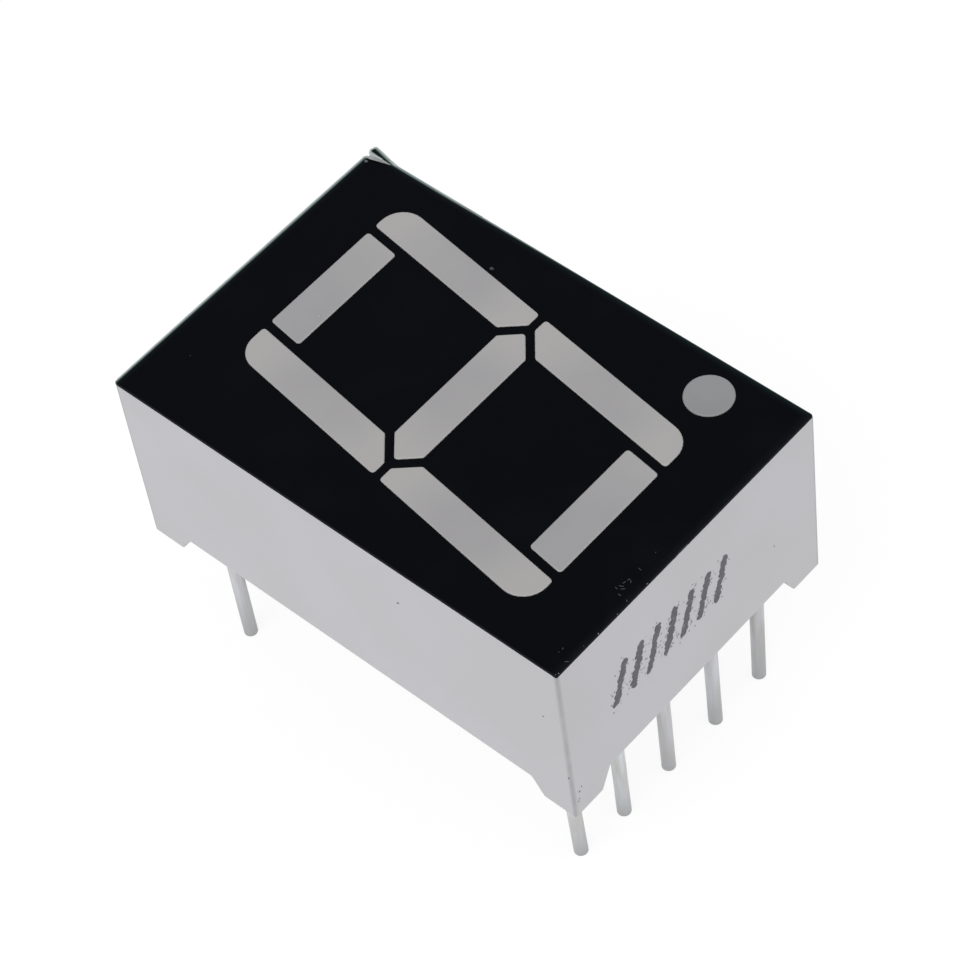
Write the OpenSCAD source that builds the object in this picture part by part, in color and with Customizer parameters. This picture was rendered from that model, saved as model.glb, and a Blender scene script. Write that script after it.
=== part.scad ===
// Single digit seven segment LED display, 14.2 mm digit class, with ten round pins in two rows.
//
// All sizes are in millimetres. The origin is the centre of the pin grid on the seating plane, which
// is the plane of the undersides of the feet. +X is the digit's right, +Y its top and +Z the way it
// faces. The pins go down from the seating plane, into a circuit board.
//
// From the front: a black film lies on a white reflector, whose eight tapered light wells are filled
// with milky resin. Each well ends on the circuit board, over one LED chip and its bond wire. The
// pins stand in the board, are soldered on its back, and are sealed there by a pour of resin.

/* [Housing] */
// Width of the housing, across its short sides
body_w = 12.6; // [12.5:0.1:13.0]
// Length of the housing, along its long sides
body_l = 19.0; // [18.8:0.1:19.4]
// Height of the housing, from its feet to its white front
body_h = 8.0; // [7.0:0.1:9.0]
// How far the housing's centre stands to the left of the pin grid's centre
body_x = 0.05; // [0:0.01:0.08]
// How far the housing's centre stands above the pin grid's centre, as the digit is read
body_y = 0.04; // [0:0.01:0.08]
// Thickness of the walls on the long sides, behind the reflector
side_wall = 0.6; // [0.5:0.05:0.65]
// Thickness of the walls on the short sides, behind the reflector
end_wall = 0.9; // [0.7:0.05:1.0]
// Radius of the four upright edges
edge_r = 0.1; // [0.05:0.05:0.5]

/* [Feet] */
// Length of a foot along each wall, from the corner
foot_l = 1.35; // [1.0:0.05:1.8]
// Length of the slope from a foot up to the raised edge of the wall
foot_slope = 0.47; // [0.3:0.01:0.8]
// Height of the raised edge above the feet, on the long sides
side_gap_h = 0.76; // [0.5:0.01:1.0]
// Height of the raised edge above the feet, on the short sides
end_gap_h = 0.94; // [0.5:0.01:1.0]
// Radius of the corners along the raised edges
gap_r = 0.1; // [0.05:0.01:0.15]

/* [Digit] */
// Height of the digit
digit_h = 14.2; // [14.0:0.02:14.6]
// Width of the digit across its upright bars, measured level
digit_w = 8.14; // [7.8:0.02:8.4]
// Lean of the digit to the right, in degrees
slant = 8; // [0:1:10]
// Place of the digit's centre to the right of the housing's centre
digit_x = 0.07; // [0:0.01:0.2]
// Place of the digit's centre below the housing's centre
digit_y = 0.02; // [0:0.01:0.2]
// Width of the upright bars, measured level
upright_w = 1.34; // [1.2:0.01:1.5]
// Height of the level bars
level_h = 1.43; // [1.2:0.01:1.6]
// Gap between neighbouring bars, measured level
bar_gap = 0.34; // [0.2:0.02:0.4]
// Size of the cut inner corner where an upright bar meets the middle bar
chamfer = 0.78; // [0.6:0.02:0.9]
// How far the middle bar's points reach past the upright bars' inner edges
tip_reach = 0.48; // [0.35:0.01:0.55]
// Length of the middle bar's slanting ends
tip_l = 0.72; // [0.5:0.02:0.8]
// Radius of the digit's four outer corners
outer_r = 0.9; // [0.5:0.05:1.0]
// Radius of the bars' other corners
corner_r = 0.12; // [0.05:0.01:0.18]
// Diameter of the decimal point
point_d = 1.7; // [1.6:0.05:1.8]
// Place of the decimal point to the right of the housing's centre
point_x = 4.86; // [4.7:0.01:5.0]
// Place of the decimal point below the housing's centre
point_y = 6.4; // [6.2:0.01:6.5]

/* [Light wells] */
// Depth of the wells' straight mouths
mouth = 0.5; // [0.2:0.05:1.0]
// Size of a bar's well at the circuit board, as a share of its size at the front
well_foot = 0.62; // [0.58:0.01:0.75]
// Size of the decimal point's well at the circuit board, as a share of its size at the front
point_foot = 0.9; // [0.88:0.01:0.95]
// How far the resin stands proud of the front film
resin_proud = 0.02; // [0.01:0.01:0.05]

/* [Front film] */
// Thickness of the black film
film_t = 0.15; // [0.08:0.01:0.25]
// Width of the film, which lies flush with the housing's left side
film_w = 12.54; // [12.40:0.01:12.56]
// Length of the film, which lies flush with the housing's bottom side
film_l = 18.98; // [18.80:0.01:18.99]
// Radius of the film's corners
film_r = 0.06; // [0.03:0.01:0.2]
// How far the tear at the top right corner runs down the film's edge
tear_l = 1.05; // [0.6:0.05:1.5]
// Width of the torn strip where the tear starts
strip_root = 0.1; // [0.08:0.01:0.2]
// Width of the torn strip at its free end
strip_tip = 0.3; // [0.2:0.01:0.4]
// How far the strip's free end is pulled outwards
strip_flare = 0.12; // [0:0.01:0.2]
// How much shorter the strip is along its outer edge than along its torn edge
strip_short = 0.1; // [0.05:0.01:0.3]
// Radius of the strip's two free corners
strip_r = 0.06; // [0.03:0.01:0.07]
// Width of what the tear takes from the main film, at its top edge
tear_w = 0.37; // [0.3:0.01:0.5]
// Angle at which the strip lifts off the housing
strip_lift = 12; // [2:1:15]

/* [Circuit board] */
// Height of the board's back above the seating plane
board_z = 2.0; // [1.8:0.1:2.2]
// Thickness of the board
board_t = 1.0; // [0.8:0.1:1.2]
// Clearance between the board and the housing's walls
board_gap = 0.05; // [0.03:0.01:0.1]
// Thickness of the copper
copper_t = 0.035; // [0.035:0.035:0.07]
// Width of the copper tracks
track_w = 0.3; // [0.2:0.05:0.35]
// Radius of the copper rings around the pins
ring_r = 0.52; // [0.45:0.01:0.55]
// Height of the back resin's surface above the seating plane
resin_z = 1.2; // [1.1:0.05:1.4]

/* [Pins] */
// Diameter of the pins
pin_d = 0.51; // [0.45:0.01:0.55]
// Pitch of the pins along a row
pin_pitch = 2.54; // [2.54:0.01:2.55]
// Distance between the two rows
row_gap = 15.24; // [15.24:0.01:15.25]
// Length of the pins below the seating plane
pin_l = 6.7; // [5.0:0.1:9.0]
// Length of pin 3 below the seating plane, which has been cut off shorter
pin_l_3 = 6.5; // [5.0:0.1:9.0]
// Radius of the rounding at the pins' ends
pin_tip_r = 0.21; // [0.05:0.01:0.22]
// How much wider a pin is at its pressed-in end than at the seating plane
pin_swell = 0.04; // [0.02:0.01:0.06]
// Radius of the solder around a pin, on the board
solder_r = 0.48; // [0.42:0.01:0.5]
// Height of the solder
solder_h = 0.5; // [0.3:0.05:0.6]

/* [Bent pins] */
// Length of straight pin left below the seating plane before a bend
bend_start = 0.5; // [0.3:0.1:1.0]
// Radius of the bends, along the pin's centre line
bend_r = 0.8; // [0.5:0.1:1.2]
// Steepness of the sideways kink in pins 1, 2 and 10
kink = 24; // [10:1:30]
// Length of the slanting stretch in the kink of pin 1
kink_l_1 = 1.0; // [0.3:0.01:1.5]
// Length of the slanting stretch in the kink of pin 2
kink_l_2 = 0.34; // [0.3:0.01:1.5]
// Length of the slanting stretch in the kink of pin 10
kink_l_10 = 0.85; // [0.3:0.01:1.5]
// Lean of pin 1 below its kink
lean_1 = 3; // [0.5:0.5:4]
// Lean of pins 2 and 10 below their kinks
small_lean = 0.5; // [0.5:0.5:4]
// Lean of pin 5
lean_5 = 1.3; // [0.5:0.1:4]

/* [LED chips] */
// Side of a chip
chip_w = 0.28; // [0.2:0.01:0.35]
// Height of a chip
chip_h = 0.2; // [0.1:0.01:0.25]
// Side of the copper pad under a chip
chip_pad = 0.55; // [0.45:0.01:0.58]
// Side of the copper pad that takes the bond wire
wire_pad = 0.4; // [0.3:0.01:0.45]
// Distance between the two pads' centres
pad_pitch = 0.6; // [0.58:0.01:0.65]
// Diameter of a bond wire
wire_d = 0.03; // [0.025:0.005:0.05]
// Radius of the plated holes that join a pad to the tracks on the board's back
via_r = 0.12; // [0.08:0.01:0.14]

/* [Hidden] */
$fn = 48;
BARS = ["a", "b", "c", "d", "e", "f", "g"];
LAMPS = concat(BARS, ["point"]);
PINS = [1:10];

WHITE = "gainsboro";
BLACK = "#111214";
MILK = "#a8a6a5";
POINT_MILK = "#929496";
LAMINATE = "#c9c08f";
COPPER = "#c07a45";
GOLD = "#d9b24c";
CHIP = "#3a3f4a";
TIN = "#bfc1c2";
SOLDER = "#a9adb1";
RESIN = "#cfcfc8";

eps = 0.01;              // how far a cut runs past the surface it opens
small_steps = 3;         // straight steps in a small rounded corner
big_steps = 8;           // straight steps in an outer corner of the digit
big_r = 0.4;             // a corner rounder than this takes the big steps

lean = tan(slant);
half_w = digit_w / 2;
half_h = digit_h / 2;
inner_x = half_w - upright_w;            // inner edge of the upright bars
level_l = 2 * (inner_x - bar_gap);       // length of the top and bottom bars
split = 0.47 * bar_gap;                  // from the digit's middle to an upright bar's end
film_top = body_h + film_t;
resin_top = film_top + resin_proud;
board_top = board_z + board_t;
reflector_z = board_top + copper_t;      // the reflector stands on the board's copper
inside_w = body_w - 2 * side_wall;
inside_l = body_l - 2 * end_wall;
track_z = board_z - copper_t;
pin_r = pin_d / 2;

// ---- outlines -------------------------------------------------------------------------------

// The angle of a vector, in degrees.
function heading(v) = atan2(v[1], v[0]);

// A point of the upright digit, moved to its place on the leaning digit.
function leaned(p) = [digit_x + p[0] + p[1] * lean, p[1] - digit_y];

// The points that round the corner p between its neighbours, anticlockwise, at radius r.
function round_corner(before, p, after, r) =
    let (u = (before - p) / norm(before - p),
         v = (after - p) / norm(after - p),
         half = acos(u * v) / 2,
         centre = p + (u + v) / norm(u + v) * r / sin(half),
         start = heading(p + u * r / tan(half) - centre),
         steps = r > big_r ? big_steps : small_steps)
    [for (i = [0:steps]) let (a = start + (180 - 2 * half) * i / steps)
        centre + r * [cos(a), sin(a)]];

// A convex outline from anticlockwise corners, each [point, radius].
function rounded(corners) =
    let (n = len(corners))
    [for (i = [0:n - 1])
        each round_corner(corners[(i + n - 1) % n][0], corners[i][0],
                          corners[(i + 1) % n][0], corners[i][1])];

// The corners of the upper right bar of an upright digit.
function upright_corners() = [
    [[inner_x + chamfer, split], corner_r],
    [[half_w, split], corner_r],
    [[half_w, half_h], outer_r],
    [[inner_x, half_h], corner_r],
    [[inner_x, split + chamfer], corner_r]
];

// The corners of the top bar.
function level_corners() = [
    [[-level_l / 2, half_h - level_h], corner_r],
    [[level_l / 2, half_h - level_h], corner_r],
    [[level_l / 2, half_h], corner_r],
    [[-level_l / 2, half_h], corner_r]
];

// The corners of the middle bar, which has a point at each end.
function middle_corners() =
    let (tip = inner_x + tip_reach, flat = tip - tip_l, h = level_h / 2)
    [[[-tip, 0], corner_r], [[-flat, -h], corner_r], [[flat, -h], corner_r],
     [[tip, 0], corner_r], [[flat, h], corner_r], [[-flat, h], corner_r]];

// The same corners mirrored to the left (x = -1) or the bottom (y = -1), kept anticlockwise.
function mirrored(corners, x, y) =
    let (n = len(corners))
    [for (i = [0:n - 1])
        let (c = corners[x * y > 0 ? i : n - 1 - i]) [[x * c[0][0], y * c[0][1]], c[1]]];

// The upright corners of one bar, by its letter.
function bar_corners(bar) =
    bar == "a" ? level_corners() :
    bar == "b" ? upright_corners() :
    bar == "c" ? mirrored(upright_corners(), 1, -1) :
    bar == "d" ? mirrored(level_corners(), 1, -1) :
    bar == "e" ? mirrored(upright_corners(), -1, -1) :
    bar == "f" ? mirrored(upright_corners(), -1, 1) :
    middle_corners();

// The outline of one bar on the front.
function bar_outline(bar) = rounded([for (c = bar_corners(bar)) [leaned(c[0]), c[1]]]);

// The centre of one lamp's well, which is where its chip and pads are centred.
function lamp_centre(lamp) =
    lamp == "point" ? [point_x, -point_y] :
    leaned(
        let (x = (half_w + inner_x) / 2, y = half_h / 2, top = half_h - level_h / 2)
        lamp == "a" ? [0, top] : lamp == "b" ? [x, y] : lamp == "c" ? [x, -y] :
        lamp == "d" ? [0, -top] : lamp == "e" ? [-x, -y] : lamp == "f" ? [-x, y] : [0, 0]);

// The direction from a chip to the pad of its bond wire, in degrees.
function lamp_turn(lamp) =
    lamp == "a" ? 0 : lamp == "d" || lamp == "g" ? 180 :
    lamp == "b" || lamp == "f" ? 90 - slant :
    lamp == "c" || lamp == "e" ? 270 - slant : 270;

// The place of a lamp's chip, and of the pad of its bond wire.
function chip_at(lamp) = lamp_centre(lamp) - pad_pitch / 2 * [cos(lamp_turn(lamp)), sin(lamp_turn(lamp))];
function wire_at(lamp) = lamp_centre(lamp) + pad_pitch / 2 * [cos(lamp_turn(lamp)), sin(lamp_turn(lamp))];

// The place of a pin, from the housing's centre. They are numbered from the bottom left, anticlockwise
// as seen from the front.
function pin_at(pin) =
    [body_x, -body_y]
    + (pin <= 5 ? [(pin - 3) * pin_pitch, -row_gap / 2] : [(8 - pin) * pin_pitch, row_gap / 2]);

// ---- shared forms ---------------------------------------------------------------------------

// A solid through outlines of equally many points, each [height, outline], from the bottom up.
module loft(rings) {
    n = len(rings[0][1]);
    last = len(rings) - 1;
    polyhedron(
        points = [for (ring = rings) for (p = ring[1]) [p[0], p[1], ring[0]]],
        faces = concat(
            [[for (i = [0:n - 1]) i]],
            [[for (i = [n - 1:-1:0]) last * n + i]],
            [for (k = [0:last - 1]) for (i = [0:n - 1])
                [k * n + i, (k + 1) * n + i, (k + 1) * n + (i + 1) % n, k * n + (i + 1) % n]]
        )
    );
}

// The whole inside of one bar's light well, from the board to the front.
module bar_form(bar) {
    outline = bar_outline(bar);
    centre = lamp_centre(bar);
    foot = [for (p = outline) centre + well_foot * (p - centre)];
    loft([[board_top, foot], [body_h - mouth, outline], [resin_top, outline]]);
}

// The inside of the decimal point's round well.
module point_form() {
    r = point_d / 2;
    translate([point_x, -point_y, 0])
    rotate_extrude()
    polygon([[0, board_top], [point_foot * r, board_top], [r, body_h - mouth],
             [r, resin_top], [0, resin_top]]);
}

// A rectangle with round corners, centred on the origin.
module round_rectangle(w, l, r) {
    square([w - 2 * r, l], center = true);
    square([w, l - 2 * r], center = true);
    for (x = [-1, 1], y = [-1, 1])
        translate([x * (w / 2 - r), y * (l / 2 - r)]) circle(r);
}

// The cut that raises one pair of walls between the feet. It runs along X, and opens downwards.
module foot_gap(span, gap_h, through) {
    foot_edge = span / 2 - foot_l;
    top_edge = foot_edge - foot_slope;
    foot_right = [foot_edge, 0];
    foot_left = [-foot_edge, 0];
    top_right = [top_edge, gap_h];
    top_left = [-top_edge, gap_h];
    rotate([90, 0, 90])
    linear_extrude(through, center = true)
    polygon(concat(
        [[-foot_edge, -eps], [foot_edge, -eps], foot_right],
        round_corner(foot_right, top_right, top_left, gap_r),
        round_corner(top_right, top_left, foot_left, gap_r),
        [foot_left]
    ));
}

// The part of a pin above the seating plane. It widens a little up to its pressed-in end.
module pin_tail() {
    cylinder(h = board_top, r1 = pin_r, r2 = pin_r + pin_swell / 2);
}

// Every pin's tail, as one cut.
module pin_tails() {
    for (p = PINS) translate(pin_at(p)) pin_tail();
}

// ---- housing and front ----------------------------------------------------------------------

// One moulding: the reflector with its light wells, the walls behind it and the four corner feet.
module housing() {
    color(WHITE)
    difference() {
        linear_extrude(body_h) round_rectangle(body_w, body_l, edge_r);
        translate([0, 0, -eps])
        linear_extrude(reflector_z + eps)
        square([inside_w, inside_l], center = true);
        foot_gap(body_l, side_gap_h, body_w + 1);
        rotate([0, 0, 90]) foot_gap(body_w, end_gap_h, body_l + 1);
        for (b = BARS) bar_form(b);
        point_form();
    }
}

// The black film, with a window for each lamp and its top right corner torn.
module face_film() {
    edge_x = film_w - body_w / 2;
    edge_y = film_l - body_l / 2;
    root_y = edge_y - tear_l;
    strip_inner = [edge_x - strip_root, 0];
    strip_outer = [edge_x, 0];
    outer_tip = [edge_x + strip_flare, tear_l - strip_short];
    inner_tip = [outer_tip[0] - strip_tip, tear_l];
    color(BLACK) {
        translate([0, 0, body_h])
        linear_extrude(film_t)
        difference() {
            translate([edge_x - film_w / 2, edge_y - film_l / 2]) round_rectangle(film_w, film_l, film_r);
            for (b = BARS) polygon(bar_outline(b));
            translate([point_x, -point_y]) circle(d = point_d);
            polygon([[edge_x + eps, root_y], [strip_inner[0], root_y], [edge_x - tear_w, edge_y + eps],
                     [edge_x + eps, edge_y + eps]]);
        }
        // the torn strip, hinged on the film where the tear starts
        translate([0, root_y, body_h])
        rotate([strip_lift, 0, 0])
        linear_extrude(film_t)
        polygon(concat(
            [strip_inner, strip_outer],
            round_corner(strip_outer, outer_tip, inner_tip, strip_r),
            round_corner(outer_tip, inner_tip, strip_inner, strip_r)
        ));
    }
}

// ---- lamps ----------------------------------------------------------------------------------

// One LED chip, standing on its copper pad.
module led_chip(lamp) {
    color(CHIP)
    translate(concat(chip_at(lamp), reflector_z + chip_h / 2))
    rotate([0, 0, lamp_turn(lamp)])
    cube([chip_w, chip_w, chip_h], center = true);
}

// One bond wire: a half ring from the chip's top, and a straight drop to the pad beside it.
module bond_wire(lamp) {
    color(GOLD)
    translate(concat(lamp_centre(lamp), reflector_z))
    rotate([0, 0, lamp_turn(lamp)]) {
        translate([0, 0, chip_h])
        rotate([90, 0, 0])
        rotate_extrude(angle = 180)
        translate([pad_pitch / 2, 0]) circle(d = wire_d, $fn = 16);
        translate([pad_pitch / 2, 0]) cylinder(h = chip_h, d = wire_d, $fn = 16);
    }
}

// The two copper pads of a lamp, on the front of the board.
module lamp_pads(lamp) {
    for (pad = [[chip_at(lamp), chip_pad], [wire_at(lamp), wire_pad]])
        translate(concat(pad[0], board_top + copper_t / 2))
        rotate([0, 0, lamp_turn(lamp)])
        cube([pad[1], pad[1], copper_t], center = true);
}

// What a lamp's resin flows around.
module lamp_works(lamp) {
    lamp_pads(lamp);
    led_chip(lamp);
    bond_wire(lamp);
}

// The milky resin that fills one bar's well.
module segment(bar) {
    color(MILK)
    difference() {
        bar_form(bar);
        lamp_works(bar);
    }
}

// The milky resin that fills the decimal point's well.
module decimal_point() {
    color(POINT_MILK)
    difference() {
        point_form();
        lamp_works("point");
    }
}

// ---- circuit board --------------------------------------------------------------------------

// One copper pad on the front, with its plated hole to the back.
module pad_and_via(at, side, turn) {
    translate(concat(at, board_top + copper_t / 2))
    rotate([0, 0, turn])
    cube([side, side, copper_t], center = true);
    translate(concat(at, track_z)) cylinder(h = reflector_z - track_z, r = via_r);
}

// Every plated hole, as one cut.
module vias() {
    for (l = LAMPS, at = [chip_at(l), wire_at(l)])
        translate(concat(at, board_z - eps)) cylinder(h = board_t + 2 * eps, r = via_r);
}

// The bare laminate, with its plated holes and pin holes.
module circuit_board() {
    color(LAMINATE)
    difference() {
        translate([0, 0, board_z])
        linear_extrude(board_t)
        square([inside_w - 2 * board_gap, inside_l - 2 * board_gap], center = true);
        vias();
        pin_tails();
    }
}

// A track along a list of points, on the back of the board.
module track(points) {
    translate([0, 0, track_z])
    linear_extrude(copper_t)
    for (i = [1:len(points) - 1]) {
        run = points[i] - points[i - 1];
        translate(points[i - 1]) {
            circle(d = track_w, $fn = 24);
            rotate(heading(run)) translate([0, -track_w / 2]) square([norm(run), track_w]);
        }
        translate(points[i]) circle(d = track_w, $fn = 24);
    }
}

// The copper ring around one pin, still closed.
module pin_ring(pin) {
    translate(concat(pin_at(pin), track_z)) cylinder(h = copper_t, r = ring_r);
}

// One lamp's own net: from the pad of its bond wire to its own pin.
module lamp_net(lamp, pin, way = []) {
    pad_and_via(wire_at(lamp), wire_pad, lamp_turn(lamp));
    track(concat([wire_at(lamp)], way, [pin_at(pin)]));
    pin_ring(pin);
}

// The net that all eight chips share, on the middle pin of each row.
module common_net() {
    g = chip_at("g");
    lower = [g[0], chip_at("c")[1]];
    upper = [g[0], chip_at("b")[1]];
    bottom = [g[0], chip_at("d")[1]];
    track([pin_at(3), bottom, lower, g, upper, chip_at("a"), pin_at(8)]);
    track([bottom, chip_at("d")]);
    track([chip_at("e"), lower, chip_at("c"), [point_x, -5], chip_at("point")]);
    track([chip_at("f"), upper, chip_at("b")]);
    for (l = LAMPS) pad_and_via(chip_at(l), chip_pad, lamp_turn(l));
    for (p = [3, 8]) pin_ring(p);
}

// All the copper, as nine separate nets: pads on the front, plated holes, tracks and rings behind.
module copper_tracks() {
    left_lane = -4.95;
    color(COPPER)
    difference() {
        union() {
            lamp_net("a", 7);
            lamp_net("b", 6);
            lamp_net("c", 4);
            lamp_net("d", 2);
            lamp_net("e", 1);
            lamp_net("f", 9);
            lamp_net("g", 10, [[left_lane, lamp_centre("g")[1]], [left_lane, 6.4]]);
            lamp_net("point", 5);
            common_net();
        }
        pin_tails();
    }
}

// ---- pins -----------------------------------------------------------------------------------

// Half of a pin's section from its tail down to a depth, closed with a flat end or a rounded tip.
function end_points(depth, tip) =
    tip ? [for (i = [0:4]) let (a = -90 * i / 4)
              [pin_r - pin_tip_r + pin_tip_r * cos(a), -depth + pin_tip_r + pin_tip_r * sin(a)]]
        : [[pin_r, -depth]];

// A pin's upper end: its tail and a straight stretch down to a depth below the seating plane.
module pin_top(depth, tip) {
    rotate_extrude()
    polygon(concat([[0, board_top], [0, -depth]],
                   [for (i = [len(end_points(depth, tip)) - 1:-1:0]) end_points(depth, tip)[i]],
                   [[pin_r, 0], [pin_r + pin_swell / 2, board_top]]));
}

// A straight shaft from the origin down to a rounded tip.
module pin_end(length) {
    rotate_extrude()
    polygon(concat([[0, 0], [0, -length]],
                   [for (i = [4:-1:0]) end_points(length, true)[i]],
                   [[pin_r, 0]]));
}

// A bend of a pin that comes down the Z axis, towards +X, with what follows it as children.
module bend(angle) {
    side = sign(angle);
    turn = abs(angle);
    rotate([0, 0, side < 0 ? 180 : 0])
    translate([bend_r, 0, 0])
    rotate([-90, 0, 180])
    rotate_extrude(angle = turn)
    translate([bend_r, 0]) circle(r = pin_r);
    translate([side * bend_r * (1 - cos(turn)), 0, -bend_r * sin(turn)])
    rotate([0, -angle, 0])
    children();
}

// A pin that leans from its bend down.
module leaning_pin(towards, angle) {
    drop = bend_start + bend_r * sin(angle);
    pin_top(bend_start, false);
    translate([0, 0, -bend_start])
    rotate([0, 0, towards])
    bend(angle) pin_end((pin_l - drop) / cos(angle));
}

// A pin pushed sideways by two opposite bends, which leave it leaning a little.
module kinked_pin(towards, kink_l, angle) {
    back = kink - angle;
    drop = bend_start + bend_r * sin(kink) + kink_l * cos(kink) + bend_r * (sin(kink) - sin(angle));
    pin_top(bend_start, false);
    translate([0, 0, -bend_start])
    rotate([0, 0, towards])
    bend(kink) {
        translate([0, 0, -kink_l]) cylinder(h = kink_l, r = pin_r);
        translate([0, 0, -kink_l]) bend(-back) pin_end((pin_l - drop) / cos(angle));
    }
}

// One pin, by its number. Pins 1, 2, 5 and 10 are bent, and the others are straight. Pin 3 is shorter.
module pin(number) {
    color(TIN)
    translate(pin_at(number)) {
        if (number == 1) kinked_pin(22, kink_l_1, lean_1);
        else if (number == 2) kinked_pin(25, kink_l_2, small_lean);
        else if (number == 5) leaning_pin(186, lean_5);
        else if (number == 10) kinked_pin(38, kink_l_10, small_lean);
        else pin_top(number == 3 ? pin_l_3 : pin_l, true);
    }
}

// The solder around every pin, on the back of the board.
module solder_joints() {
    color(SOLDER)
    difference() {
        for (p = PINS)
            translate(concat(pin_at(p), track_z - solder_h))
            cylinder(h = solder_h, r1 = pin_r + pin_swell, r2 = solder_r);
        pin_tails();
    }
}

// The resin poured over the back of the board, which climbs a little around each pin.
module back_resin() {
    climb_h = 0.12;
    color(RESIN)
    difference() {
        union() {
            translate([0, 0, resin_z])
            linear_extrude(board_z - resin_z)
            square([inside_w, inside_l], center = true);
            for (p = PINS)
                translate(concat(pin_at(p), resin_z - climb_h))
                cylinder(h = 2 * climb_h, r1 = pin_r + pin_swell, r2 = 2.2 * pin_r);
        }
        copper_tracks();
        solder_joints();
        pin_tails();
    }
}

// ---- the assembly ---------------------------------------------------------------------------

// Brings what is drawn around the housing's centre to its place over the pin grid.
module placed() {
    translate([-body_x, body_y, 0]) children();
}

placed() housing();
placed() face_film();
for (b = BARS) placed() segment(b);
placed() decimal_point();
placed() circuit_board();
placed() copper_tracks();
for (l = LAMPS) placed() led_chip(l);
for (l = LAMPS) placed() bond_wire(l);
for (p = PINS) placed() pin(p);
placed() solder_joints();
placed() back_resin();
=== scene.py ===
"""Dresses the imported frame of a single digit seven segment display.

The frame's origin is the centre of the pin grid on the seating plane. +X is the digit's right, +Y its
top and +Z the way it faces. Blender works in metres, and every size in this file is in millimetres:
meshes are worked on in millimetres and brought to metres as they are finished.
"""

from __future__ import annotations

import logging
import math
from dataclasses import dataclass, replace
from enum import Enum
from functools import cache
from typing import Any, Callable, Sequence

import bmesh
import bpy
from mathutils import Matrix, Vector

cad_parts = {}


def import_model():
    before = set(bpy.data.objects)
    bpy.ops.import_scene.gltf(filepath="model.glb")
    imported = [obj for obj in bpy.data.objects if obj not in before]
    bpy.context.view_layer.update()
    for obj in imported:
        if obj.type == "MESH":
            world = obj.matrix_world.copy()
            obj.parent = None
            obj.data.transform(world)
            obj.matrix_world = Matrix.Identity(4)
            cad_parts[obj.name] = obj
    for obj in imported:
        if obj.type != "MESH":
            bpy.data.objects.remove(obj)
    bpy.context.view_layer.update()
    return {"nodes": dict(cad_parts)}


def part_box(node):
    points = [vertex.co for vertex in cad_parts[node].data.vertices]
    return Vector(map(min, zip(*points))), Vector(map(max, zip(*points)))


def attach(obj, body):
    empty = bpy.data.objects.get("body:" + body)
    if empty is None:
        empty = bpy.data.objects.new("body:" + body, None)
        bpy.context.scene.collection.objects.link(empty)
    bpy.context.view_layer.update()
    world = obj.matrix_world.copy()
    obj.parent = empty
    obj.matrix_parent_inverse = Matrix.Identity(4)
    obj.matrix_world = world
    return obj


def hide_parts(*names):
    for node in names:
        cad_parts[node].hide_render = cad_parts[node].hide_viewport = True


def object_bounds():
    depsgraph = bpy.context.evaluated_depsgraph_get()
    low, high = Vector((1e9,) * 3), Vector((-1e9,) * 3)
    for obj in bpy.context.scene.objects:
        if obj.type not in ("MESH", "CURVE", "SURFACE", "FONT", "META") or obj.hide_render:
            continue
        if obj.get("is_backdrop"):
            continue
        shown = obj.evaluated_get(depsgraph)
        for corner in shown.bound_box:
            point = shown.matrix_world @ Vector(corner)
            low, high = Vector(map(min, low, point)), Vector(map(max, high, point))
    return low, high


LOG = logging.getLogger("display")

MM = 0.001
BODY = "root"

# The nodes that come up most often. A mix takes its share at 0 and its two colours at 6 and 7. A range
# takes a value, the two ends that it runs between, and the two ends that it is brought to, or 0 and 1.
MATH = "ShaderNodeMath"
MIX = "ShaderNodeMix"
RANGE = "ShaderNodeMapRange"
SPLIT = "ShaderNodeSeparateXYZ"

Colour = tuple[float, float, float, float]


class Slot(Enum):
    """The material slots."""

    HOUSING = "housing_plastic"
    FILM = "black_film"
    BAR = "milky_resin"
    POINT = "point_resin"
    BOARD = "board_laminate"
    COPPER = "copper"
    CHIP = "led_chip"
    WIRE = "gold_wire"
    PIN = "tinned_pin"
    SOLDER = "solder"
    BACK = "back_resin"


class Bar(Enum):
    """The digit's bars, by the letters that every display of this kind uses."""

    TOP = "a"
    UPPER_RIGHT = "b"
    LOWER_RIGHT = "c"
    BOTTOM = "d"
    LOWER_LEFT = "e"
    UPPER_LEFT = "f"
    MIDDLE = "g"


# ---- small tools ----------------------------------------------------------------------------


def linear(hex_colour: str) -> Colour:
    """Turns an sRGB hex colour into a linear one.

    Args:
        hex_colour: The colour as "#rrggbb".

    Returns:
        Linear red, green and blue, and an alpha of 1.
    """
    channels = (int(hex_colour[i : i + 2], 16) / 255 for i in (1, 3, 5))
    red, green, blue = (c / 12.92 if c <= 0.04045 else ((c + 0.055) / 1.055) ** 2.4 for c in channels)
    return red, green, blue, 1.0


class Tree:
    """A node tree under construction."""

    def __init__(self, owner: Any) -> None:
        """Takes a new node group, or turns on and empties the tree of a new material or world.

        Args:
            owner: The node group, the material or the world.
        """
        self.tree = owner
        if not isinstance(owner, bpy.types.NodeTree):
            owner.use_nodes = True
            self.tree = owner.node_tree
            self.tree.nodes.clear()

    def add(self, kind: str, inputs: dict | Sequence = (), out: Any = 0, **settings: Any) -> Any:
        """Adds a node with its settings and links.

        Args:
            kind: The node's type.
            inputs: A value, a hex colour or a socket for each input, by name or number or in order.
            out: The number or name of the output that is wanted, or None for the whole node.
            settings: The node's own properties.

        Returns:
            The output's socket, or the node.
        """
        node = self.tree.nodes.new(kind)
        for key, value in settings.items():
            setattr(node, key, value)
        for key, value in inputs.items() if isinstance(inputs, dict) else enumerate(inputs):
            if isinstance(value, bpy.types.NodeSocket):
                self.tree.links.new(value, node.inputs[key])
            else:
                node.inputs[key].default_value = linear(value) if isinstance(value, str) else value
        return node if out is None else node.outputs[out]


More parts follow.
